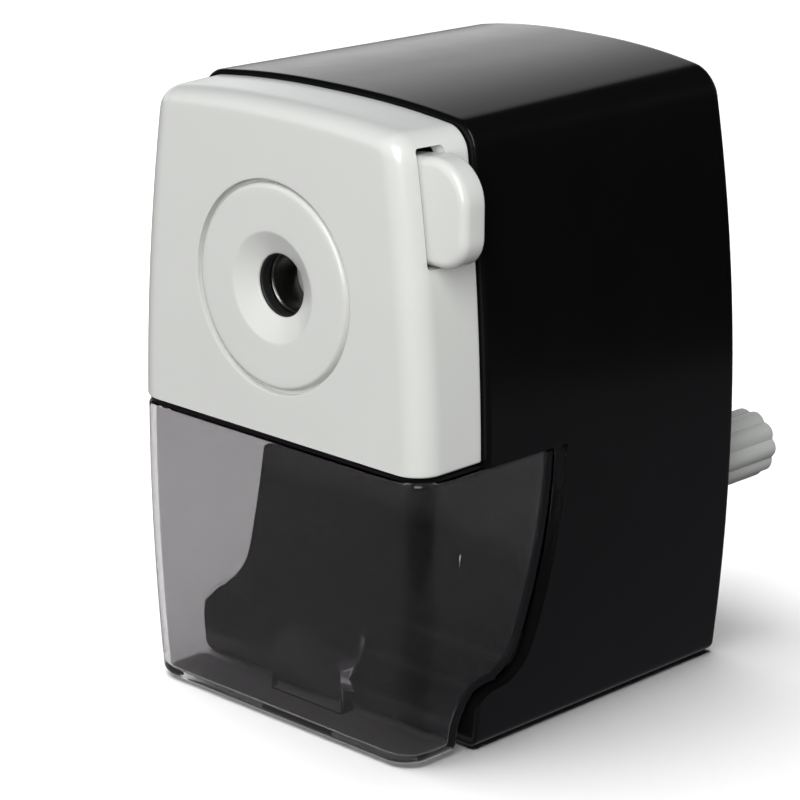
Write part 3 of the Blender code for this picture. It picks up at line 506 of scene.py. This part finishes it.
def build_cover():
    """Light cap: dished pencil hole, moulded ring, rounded front, slot for the button."""
    inner_front = FRONT_Y + COVER_WALL

    def ring(y, inset, wall=0.0):
        crown = max(size_at(CROWN_RADIUS, y) - inset * 0.5 - wall * 0.5, 1.5)
        return barrel(y, FRONT_STEP + inset + wall, COVER_BOTTOM + wall, 0.5, crown,
                      TOP_STEP + inset * 0.6 + wall)

    rim = ring(FRONT_Y, COVER_ROUND)
    angles = [math.atan2(z - AXIS_Z, x) for x, _, z in rim]

    def circle(radius, y):
        return [(radius * math.cos(a), y, AXIS_Z + radius * math.sin(a)) for a in angles]

    dish_y = FRONT_Y + DISH_DEPTH
    boss_back = -31.6
    throat = (HOLE_RADIUS, dish_y + 0.16)
    profile = [(9.6, inner_front), (9.6, boss_back), (7.1, boss_back), (7.1, inner_front),
               (HOLE_RADIUS, inner_front), throat]
    profile += bend(throat, (HOLE_RADIUS, dish_y), (HOLE_RADIUS + 0.2, dish_y - 0.1), 4)[1:]
    mouth = bend((DISH_RADIUS - 0.2, FRONT_Y + 0.1), (DISH_RADIUS, FRONT_Y),
                 (DISH_RADIUS + 0.25, FRONT_Y), 5)
    profile += spread(profile[-1], mouth[0], 4) + mouth[1:]
    profile += [(DISH_RADIUS + 1.6, FRONT_Y), (GROOVE_INNER - 1.3, FRONT_Y)]
    profile += bend((GROOVE_INNER - 0.7, FRONT_Y), (GROOVE_INNER, FRONT_Y),
                    (GROOVE_INNER + 0.05, FRONT_Y + GROOVE_DEPTH * 0.7), 6)
    groove_floor = FRONT_Y + GROOVE_DEPTH
    groove_edge = (GROOVE_OUTER, FRONT_Y + 0.08)
    profile += [(GROOVE_INNER + 0.15, groove_floor), (GROOVE_OUTER - 0.1, groove_floor),
                (GROOVE_OUTER, groove_floor - 0.1), groove_edge]
    profile += bend(groove_edge, (GROOVE_OUTER, FRONT_Y), (GROOVE_OUTER + 0.1, FRONT_Y), 3)[1:]
    profile += [(GROOVE_OUTER + 0.5, FRONT_Y)]
    rings = [circle(radius, y) for radius, y in profile]
    last = rings[-1]
    for share in (0.33, 0.66, 0.95, 1.0):
        rings.append([tuple(a + (b - a) * share for a, b in zip(p, q)) for p, q in zip(last, rim)])
    steps = 12
    for i in range(1, steps + 1):
        a = math.pi / 2 * (1 - i / steps)
        rings.append(ring(FRONT_Y + COVER_ROUND * (1 - math.sin(a)), COVER_ROUND * (1 - math.cos(a))))
    back = COVER_BACK_Y - GAP
    rings += [ring(FRONT_Y + COVER_ROUND + 0.5, 0.0), ring(back - 0.6, 0.0), ring(back - 0.2, 0.0),
              ring(back - 0.05, 0.06), ring(back, 0.2), ring(back, 0.0, COVER_WALL)]
    inner_round = COVER_ROUND - 1.4
    for i in range(7):
        a = math.pi / 2 * i / 6
        rings.append(ring(inner_front + inner_round * (1 - math.sin(a)),
                          inner_round * (1 - math.cos(a)), COVER_WALL))
    cover = make("cover", skin(rings, "loop"))

    slot_low, slot_high = BUTTON_LOW.z - 0.5, BUTTON_HIGH.z + 0.8
    slot_front, slot_back = BUTTON_LOW.y - GAP, BUTTON_HIGH.y + GAP
    corners = [(slot_front, slot_low), (slot_back, slot_low),
               (slot_back, slot_high), (slot_front, slot_high)]
    slot = prism_x("slot_tool", rounded_profile(corners, 0.7), 20.0, 60.0)
    combine(cover, [slot], "DIFFERENCE")
    post_front = inner_front - 0.5
    post = [(3.0, post_front), (3.0, POST_BACK_Y), (1.3, POST_BACK_Y), (1.3, post_front)]
    posts = [make("post_tool", turned(post, 32, center)) for center in COVER_POSTS]
    combine(cover, posts, "UNION", 30)
    place(cover, "body", "light_grey_gloss", "front_cover")


def build_housing():
    """Glossy black shell with the S-shaped cut-out in front of its lower bay."""
    lip, rim = 0.8, 0.9

    def ring(y, inset):
        return barrel(y, inset, STAND + inset, FOOT_RADIUS - inset, size_at(CROWN_RADIUS, y) - inset)

    quarter = [math.pi / 2 * i / 8 for i in range(9)]
    rings = [ring(COVER_BACK_Y + lip * (1 - math.sin(a)), lip * (1 - math.cos(a)) * 0.8)
             for a in reversed(quarter)]
    rings += [ring(COVER_BACK_Y + lip + 0.6, 0.0), ring(BACK_Y - rim - 0.6, 0.0)]
    rings += [ring(BACK_Y - rim * (1 - math.sin(a)), rim * (1 - math.cos(a))) for a in quarter]
    shell = make("shell", skin(rings))

    bay_back = BACK_Y - WALL - GAP
    shelf = SILL + WALL
    upper_bay = make("upper_tool", skin([barrel(y, WALL, shelf, 1.0, size_at(CROWN_RADIUS, y) - WALL)
                                         for y in (COVER_BACK_Y - 1, bay_back)]))
    lower_bay = make("lower_tool", skin([barrel(y, WALL, -2.0, 0.5, 1.0, top=SILL)
                                         for y in (FRONT_Y, bay_back)]))
    behind = stretched(seam(-WALL), 60.0, -4.0) + [(60.0, -4.0), (60.0, 60.0)]
    combine(lower_bay, [prism_x("behind_tool", behind, -50, 50)], "INTERSECT")
    before = stretched(seam(0.0), SILL, -3.0) + [(-60.0, -3.0), (-60.0, SILL)]
    drawer_bay = prism_x("before_tool", before, -50, 50)
    chute = block("chute_tool", (-25, COVER_BACK_Y + 2, SILL - 1), (25, -8, shelf + 1))
    bearing = make("bearing_tool", turned([(6.0, BACK_Y - 4), (6.0, BACK_Y + 1)], 64, close="caps"))
    combine(shell, [upper_bay, lower_bay, drawer_bay, chute, bearing], "DIFFERENCE")
    combine(shell, [make("ledge_tool", ledge())], "UNION", 30)
    place(shell, "body", "black_gloss", "housing")


def ledge():
    """Thin frame of the shell that shows as a black line between the cover and the drawer."""
    low, high = SILL, SILL + 0.5

    def plan(inset, back):
        x = half_width(low) - FRONT_STEP - inset
        front = FRONT_Y + inset
        right = [(0.0, front)] + spread((0.0, front), (x - LEDGE_ROUND, front), 4)
        right += bend((x - LEDGE_ROUND, front), (x, front), (x, front + LEDGE_ROUND), 12)[1:]
        right += [(x, back)]
        return [(-px, py) for px, py in reversed(right[1:])] + right

    outer = plan(0.1, COVER_BACK_Y + 2.5)
    inner = plan(3.0, COVER_BACK_Y + 2.0)
    verts = [(x, y, z) for outline, z in ((outer, low), (outer, high), (inner, high), (inner, low))
             for x, y in outline]
    count = len(outer)
    faces = []
    for r in range(4):
        a, b = r * count, ((r + 1) % 4) * count
        faces += [(a + i, a + i + 1, b + i + 1, b + i) for i in range(count - 1)]
    faces += [tuple(r * count for r in range(4)), tuple(r * count + count - 1 for r in (3, 2, 1, 0))]
    return verts, faces


def build_button():
    """Thumb button with a flat D-shaped face and softly rounded rims."""
    low, high, right = BUTTON_LOW.z, BUTTON_HIGH.z, BUTTON_HIGH.x
    low_round, high_round = 4.9, 6.8
    inner = 21.7
    outline = [(inner, low)] + spread((inner, low), (right - low_round, low), 6)
    outline += bend((right - low_round, low), (right, low), (right, low + low_round), 14)[1:]
    outline += spread((right, low + low_round), (right, high - high_round), 5)
    outline += bend((right, high - high_round), (right, high), (right - high_round, high), 16)[1:]
    outline += spread((right - high_round, high), (inner, high - 0.9), 6)
    rings = rounded_slab(outline, BUTTON_LOW.y, BUTTON_HIGH.y, 1.4, 0.7, 8)
    button = make("button", skin(rings))
    arm = block("arm_tool", (5.5, -31.2, 81.4), (23, -28.9, 84.4))
    combine(button, [arm], "UNION")
    place(button, "button", "light_grey_gloss", "release_button")


# Drawer ----------------------------------------------------------------------------

def round_in(radius, rise):
    """How far an edge of this radius stands in at a height above its lowest point."""
    if rise >= radius:
        return 0.0
    return radius - math.sqrt(max(radius ** 2 - (radius - rise) ** 2, 0.0))


def drawer_rings(inset, z_floor, foot, corner, back_gap, back_round, edge_lift):
    """Horizontal sections from the floor to the rim; each runs round the bin at one height."""
    curve = [(y, z) for y, z in stretched(seam(back_gap), DRAWER_TOP + 5, -3.0)]

    def back_at(z):
        for (y0, z0), (y1, z1) in zip(curve, curve[1:]):
            if z1 <= z <= z0:
                return y1 + (y0 - y1) * (z - z1) / max(z0 - z1, 1e-9)
        return curve[-1][0]

    heights = {round(z_floor + foot * (1 - math.cos(math.pi / 2 * i / 10)), 5) for i in range(11)}
    heights |= {round(z, 5) for _, z in curve if z_floor < z < DRAWER_TOP - 0.3}
    heights |= {DRAWER_TOP - 0.25}
    rings = []
    for z in sorted(heights):
        rise = z - z_floor
        rings.append(plan_ring(half_width(z) - FRONT_STEP - inset - round_in(foot, rise),
                               FRONT_Y + inset + round_in(edge_lift, rise),
                               back_at(z), corner, back_round, z))
    return rings, back_at


def plan_ring(x, front, back, corner, back_round, z):
    """Section of the bin in (x, y) at height z: round front corners, nearly sharp back ones."""
    right = [(0.0, back)] + spread((0.0, back), (x - back_round, back), 10)
    right += bend((x - back_round, back), (x, back), (x, back - back_round), 4)[1:]
    right += spread((x, back - back_round), (x, front + corner), 10)
    right += bend((x, front + corner), (x, front), (x - corner, front), 14)[1:]
    right += spread((x - corner, front), (0.0, front), 10)
    return [(px, py, z) for px, py in mirrored(right)]


def build_drawer():
    """Smoked bin whose back wall follows the S-curve, open at the top."""
    outer, outer_back = drawer_rings(0.0, STAND, FOOT_RADIUS, DRAWER_ROUND, SEAM_GAP, 0.45, 1.2)
    wall = DRAWER_WALL
    inner, inner_back = drawer_rings(wall, STAND + wall, 1.0, DRAWER_ROUND - wall,
                                     SEAM_GAP + wall, 0.6, 0.8)
    rim_z = DRAWER_TOP
    width = half_width(rim_z) - FRONT_STEP
    chamfer = 0.07
    land = 0.25
    rim = [plan_ring(width - chamfer, FRONT_Y + chamfer, outer_back(rim_z) - chamfer,
                     DRAWER_ROUND, 0.45, rim_z - chamfer),
           plan_ring(width - land, FRONT_Y + land, outer_back(rim_z) - land,
                     DRAWER_ROUND - 0.2, 0.4, rim_z),
           plan_ring(width - wall + land, FRONT_Y + wall - land, inner_back(rim_z) + land,
                     DRAWER_ROUND - wall, 0.6, rim_z)]
    drawer = make("drawer_bin", skin(outer + rim + list(reversed(inner))))

    lift = STAND + wall + 4.4
    arch = [(BOSS_RADIUS, 0.9)]
    arch += [(BOSS_RADIUS * math.cos(a), lift + BOSS_RADIUS * math.sin(a))
             for a in (math.pi * i / 40 for i in range(41))]
    arch += [(-BOSS_RADIUS, 0.9)]
    boss = make("boss_tool", skin([at_y(BOSS_FRONT_Y, inset_outline(arch, 0.5)),
                                   at_y(BOSS_FRONT_Y + 0.15, inset_outline(arch, 0.15)),
                                   at_y(BOSS_FRONT_Y + 0.5, arch), at_y(-10.0, arch)]))
    trim = prism_x("trim_tool", stretched(seam(SEAM_GAP + 0.8), 60.0, STAND + 0.8)
                   + [(-60.0, STAND + 0.8), (-60.0, 60.0)], -40, 40)
    combine(boss, [trim], "INTERSECT")
    combine(drawer, [boss], "UNION")
    for side in (-1, 1):
        x = side * (half_width(40.0) - FRONT_STEP - wall + 0.05)
        rib = make("rib_tool", turned([(RIB_RADIUS, 0.0), (RIB_RADIUS, 1.0)], 12, close="caps"))
        rib.data.transform(Matrix.Translation((x * MM, RIB_Y * MM, RIB_LOW_Z * MM))
                           @ Matrix.Rotation(math.pi / 2, 4, "X")
                           @ Matrix.Diagonal((1.0, -RIB_LENGTH, 1.0, 1.0))
                           @ Matrix.Translation((0, 0, -AXIS_Z * MM)))
        combine(drawer, [rib], "UNION", 30)
    return place(drawer, "drawer", "smoked_clear", "drawer")


# Crank --------------------------------------------------------------------------------

def build_knob():
    """Fluted grip with rounded ends."""
    radius = (KNOB_HIGH.x - KNOB_LOW.x) / 2
    count = KNOB_LOBES * 14
    depth = 0.6

    def fluted(y, inset):
        points = []
        for i in range(count):
            angle = math.tau * i / count
            lobe = abs(math.cos(KNOB_LOBES * angle / 2))
            r = radius - depth * (1 - lobe) * (1 - inset * 0.25) - inset
            points.append((CRANK_END[0] + r * math.cos(angle), y, CRANK_END[1] + r * math.sin(angle)))
        return points

    edge = 0.9
    y0, y1 = KNOB_LOW.y, KNOB_HIGH.y
    rings = [fluted(y0, edge)]
    rings += [fluted(y0 + edge * (1 - math.cos(a)), edge * (1 - math.sin(a)))
              for a in (math.pi / 2 * i / 6 for i in range(1, 7))]
    rings += [fluted(y1 - edge * (1 - math.cos(a)), edge * (1 - math.sin(a)))
              for a in (math.pi / 2 * i / 6 for i in range(6, 0, -1))]
    rings.append(fluted(y1, edge))
    knob = make("knob", skin(rings), 50)
    sink = y1 - 1.8
    stepped = [(KNOB_BORE, y0 - 2), (KNOB_BORE, sink), (3.6, sink), (3.6, y1 + 2)]
    bore = make("bore_tool", turned(stepped, 48, CRANK_END, "caps"))
    combine(knob, [bore], "DIFFERENCE", 50)
    place(knob, "knob", "mid_grey_plastic", "crank_knob")
    pin = [(ON_AXIS, 38.4), (2.0, 38.4), (2.0, 56.7), (3.2, 56.7), (3.2, 57.2), (2.4, 57.7),
           (ON_AXIS, 57.7)]
    rivet = make("knob_rivet", turned_solid(pin, 0.25, 3, 48, CRANK_END))
    place(rivet, "crank", "steel", "knob_pin")


def build_arm():
    """Crank arm: flat bar with round ends and rounded rims between the hub and the knob."""
    down = math.atan2(CRANK_END[1] - AXIS_Z, CRANK_END[0])
    hub = (0.0, AXIS_Z)

    def arc(center, radius, start, end):
        return [(center[0] + radius * math.cos(down + math.radians(d)),
                 center[1] + radius * math.sin(down + math.radians(d))) for d in range(start, end, 6)]

    bar = arc(hub, HUB_RADIUS, 90, 271) + arc(CRANK_END, TIP_RADIUS, -90, 91)
    arm = make("arm", skin(rounded_slab(bar, ARM_LOW.y, ARM_HIGH.y, 0.7, 0.9)))
    holes = [make("hole_tool", turned([(radius, ARM_LOW.y - 1), (radius, ARM_HIGH.y + 1)],
                                      48, center, "caps"))
             for radius, center in ((HUB_BORE, hub), (KNOB_BORE, CRANK_END))]
    combine(arm, holes, "DIFFERENCE")
    place(arm, "crank", "mid_grey_plastic", "crank_arm")


def build_turned_parts():
    """Bush, guide tube, rear bearing, washer and screw, all turned round the main axis."""
    bush_low, bush_high = box_mm("hole_bush")
    tube_low, tube_high = box_mm("guide_tube")
    bush = [(6.7, bush_low.y), (6.7, bush_high.y), (4.7, bush_high.y), (4.7, bush_low.y)]
    place(make("bush", turned(rounded_profile(bush, 0.25), 96)), "body", "black_matte", "hole_bush")
    tube = [(5.9, tube_low.y), (5.9, tube_low.y + 0.5), (4.9, tube_low.y + 0.5), (4.9, tube_high.y),
            (4.4, tube_high.y), (4.4, tube_low.y + 0.4), (4.65, tube_low.y)]
    place(make("tube", turned(rounded_profile(tube, 0.12), 96)), "body", "steel", "guide_tube",
          finish="dull_steel")
    bearing = [(5.7, 31.5), (5.7, 36.2), (8.5, 36.2), (8.5, 37.8), (2.8, 37.8), (2.8, 31.5)]
    place(make("bearing", turned(rounded_profile(bearing, 0.5), 96)), "body", "black_matte",
          "rear_bush")
    washer_low, washer_high = box_mm("crank_washer")
    washer = [(4.8, washer_low.y), (4.8, washer_high.y), (1.6, washer_high.y), (1.6, washer_low.y)]
    place(make("washer", turned(rounded_profile(washer, 0.15), 96)), "crank", "steel", "crank_washer")
    head = [(ON_AXIS, 44.4), (2.2, 44.3), (3.6, 43.8), (3.6, 42.9), (1.0, 42.9), (1.0, 35.4),
            (ON_AXIS, 35.0)]
    screw = make("screw", turned_solid(head, 0.2, 3, 64))
    cross = [block("cross_tool", (-x, 43.5, AXIS_Z - z), (x, 46.0, AXIS_Z + z))
             for x, z in ((2.2, 0.35), (0.35, 2.2))]
    combine(screw, cross, "DIFFERENCE")
    place(screw, "crank", "steel", "crank_screw")


def dress_frame():
    """Procedural finishes for the CAD nodes that are shown as they are."""
    for part in frame["record"]["subparts"]:
        obj = frame["nodes"][part["node"]]
        finish = FINISH[part["material_slot"]]
        if not obj.material_slots:
            obj.data.materials.append(finish)
        for slot in obj.material_slots:
            slot.material = finish


# Studio ---------------------------------------------------------------------------------

CAMERA_AZIMUTH = 44.3888
CAMERA_ELEVATION = 17.4907
CAMERA_DISTANCE = 0.53138
CAMERA_LENS = 146.64
CAMERA_TARGET = (-0.007901, 0.0, 0.043431)
CAMERA_ROLL = 0.1658
WHITE = (1.0, 1.0, 1.0)
COOL = (0.6, 0.85, 1.0)
DIM_GLOW = (0.23, 0.21, 0.235)
BRIGHT_GLOW = (0.8, 0.8, 0.8)
FLOOR_LIGHT = {"location": (-0.25, -0.15, 1.2), "target": (0, 0, 0), "size": (1.4, 1.4)}
OBJECT_MIDDLE = (0, 0, 0.05)

# How the sky fades: axis of the direction, start and end along it, brightness at both
SKY_FADES = (("Z", -0.002, 0.002, 0.0, 1.4), ("Z", 0.06, 0.52, 1.0, 0.0),
             ("X", 0.0, 0.6, 1.0, 0.0), ("Y", -0.35, -0.13, 0.12, 1.0))


def build_camera():
    """Camera at the photograph's viewing angle."""
    a, e, roll = (math.radians(v) for v in (CAMERA_AZIMUTH, CAMERA_ELEVATION, CAMERA_ROLL))
    back = Vector((math.sin(a) * math.cos(e), -math.cos(a) * math.cos(e), math.sin(e)))
    right = Vector((0, 0, 1)).cross(back).normalized()
    up = back.cross(right)
    tilted_right = right * math.cos(roll) + up * math.sin(roll)
    tilted_up = up * math.cos(roll) - right * math.sin(roll)
    place_at = Vector(CAMERA_TARGET) + back * CAMERA_DISTANCE
    data = bpy.data.cameras.new("camera")
    data.sensor_width = 36.0
    data.lens = CAMERA_LENS
    data.clip_start = 0.01
    data.clip_end = 50.0
    camera = bpy.data.objects.new("camera", data)
    turn = Matrix((tilted_right, tilted_up, back)).transposed()
    camera.matrix_world = Matrix.Translation(place_at) @ turn.to_4x4()
    bpy.context.scene.collection.objects.link(camera)
    bpy.context.scene.camera = camera


def linked_group(name, obj, state):
    """Group for light linking: the object alone (INCLUDE), or all but the object (EXCLUDE)."""
    group = bpy.data.collections.new(name)
    group.objects.link(obj)
    group.collection_objects[0].light_linking.link_state = state
    return group


def soft_box(name, location, target, size, power, receivers, color=WHITE, blockers=None,
             reflected=False):
    """Rectangular lamp that lights only its receivers; its own shape shows in gloss if reflected."""
    data = bpy.data.lights.new(name, "AREA")
    data.shape = "RECTANGLE"
    data.size, data.size_y = size
    data.energy = power
    data.color = color
    light = bpy.data.objects.new(name, data)
    light.location = location
    light.rotation_mode = "QUATERNION"
    light.rotation_quaternion = (Vector(location) - Vector(target)).to_track_quat("Z", "Y")
    light.light_linking.receiver_collection = receivers
    light.light_linking.blocker_collection = blockers
    light.visible_glossy = reflected
    light.visible_transmission = False
    bpy.context.scene.collection.objects.link(light)


def reflection_card(name, corners, height, glow):
    """Flat card that only reflections see, in place of the floor."""
    mesh = bpy.data.meshes.new(name)
    mesh.from_pydata([(x, y, height) for x, y in corners], [], [(0, 1, 2, 3)])
    card = bpy.data.objects.new(name, mesh)
    bpy.context.scene.collection.objects.link(card)
    m = Nodes(name)
    m.set(Base_Color=(0.0, 0.0, 0.0, 1.0), Specular_IOR_Level=0.0, Emission_Strength=1.0,
          Emission_Color=(*glow, 1.0))
    mesh.materials.append(m.material)
    card.visible_camera = False
    card.visible_diffuse = False
    card.visible_transmission = False
    card.visible_shadow = False


def build_cards():
    """A dim card under the object and a bright one round the drawer's foot, for reflections."""
    reach, rear, left, right = 0.111, -0.6, -0.8, 0.25
    a = math.radians(CAMERA_AZIMUTH)
    corners = [(u * math.sin(a) + v * math.cos(a), v * math.sin(a) - u * math.cos(a))
               for u, v in ((reach, left), (reach, right), (rear, right), (rear, left))]
    reflection_card("dim_card", corners, 0.00005, DIM_GLOW)
    margin = 0.004
    side = DRAWER_HIGH.x * MM
    front, back = FRONT_Y * MM - margin, -0.025
    corners = [(-side - margin, front), (side, front), (side, back), (-side - margin, back)]
    reflection_card("foot_card", corners, 0.0001, BRIGHT_GLOW)


def build_world():
    """White studio for the camera and reflections; it is bright low down and lights no surface."""
    world = bpy.data.worlds.new("studio")
    world.use_nodes = True
    tree = world.node_tree
    parts = tree.nodes.new("ShaderNodeSeparateXYZ")
    tree.links.new(tree.nodes.new("ShaderNodeTexCoord").outputs["Generated"], parts.inputs["Vector"])
    brightness = None
    for axis, start, end, low, high in SKY_FADES:
        fade = tree.nodes.new("ShaderNodeMapRange")
        fade.interpolation_type = "SMOOTHSTEP"
        limits = {"From Min": start, "From Max": end, "To Min": low, "To Max": high}
        for socket, value in limits.items():
            fade.inputs[socket].default_value = value
        tree.links.new(parts.outputs[axis], fade.inputs["Value"])
        if brightness is None:
            brightness = fade.outputs["Result"]
            continue
        product = tree.nodes.new("ShaderNodeMath")
        product.operation = "MULTIPLY"
        tree.links.new(brightness, product.inputs[0])
        tree.links.new(fade.outputs["Result"], product.inputs[1])
        brightness = product.outputs["Value"]
    tree.nodes["Background"].inputs["Color"].default_value = (*WHITE, 1.0)
    tree.links.new(brightness, tree.nodes["Background"].inputs["Strength"])
    world.cycles_visibility.diffuse = False
    bpy.context.scene.world = world


def build_studio(drawer):
    """White floor, reflection cards, sky and lamps."""
    scene = bpy.context.scene
    scene.view_settings.view_transform = "Standard"
    bpy.ops.mesh.primitive_plane_add(size=60.0)
    floor = bpy.context.object
    floor.name = "floor"
    m = Nodes("floor_white")
    m.set(Base_Color=(0.88, 0.88, 0.88, 1.0), Roughness=0.9, Specular_IOR_Level=0.0)
    floor.data.materials.append(m.material)
    floor.visible_glossy = False
    floor.visible_diffuse = False
    build_cards()
    build_world()
    only_floor = linked_group("only_floor", floor, "INCLUDE")
    all_but_floor = linked_group("all_but_floor", floor, "EXCLUDE")
    # The smoked drawer passes part of the light, so one of the two floor lights ignores it
    all_but_drawer = linked_group("all_but_drawer", drawer, "EXCLUDE")
    soft_box("floor_wash", **FLOOR_LIGHT, power=29.0, receivers=only_floor)
    soft_box("floor_through", **FLOOR_LIGHT, power=5.0, receivers=only_floor, blockers=all_but_drawer)
    for name, location, size, power, color, reflected in (
            ("key", (0.55, -0.75, 0.62), (0.45, 1.1), 14.0, WHITE, True),
            ("front_left", (-0.6, -0.9, 0.3), (0.8, 0.8), 4.8, WHITE, False),
            ("top", (-0.2, 0.1, 1.0), (0.9, 0.9), 0.9, COOL, False),
            ("right", (1.0, 0.2, 0.3), (0.5, 0.5), 2.9, WHITE, False),
            ("back", (-0.5, 1.1, 0.5), (0.7, 0.7), 4.0, WHITE, False)):
        soft_box(name, location, OBJECT_MIDDLE, size, power, all_but_floor, color,
                 reflected=reflected)


build_cover()
build_housing()
build_button()
smoked_drawer = build_drawer()
build_knob()
build_arm()
build_turned_parts()
dress_frame()
build_studio(smoked_drawer)
build_camera()
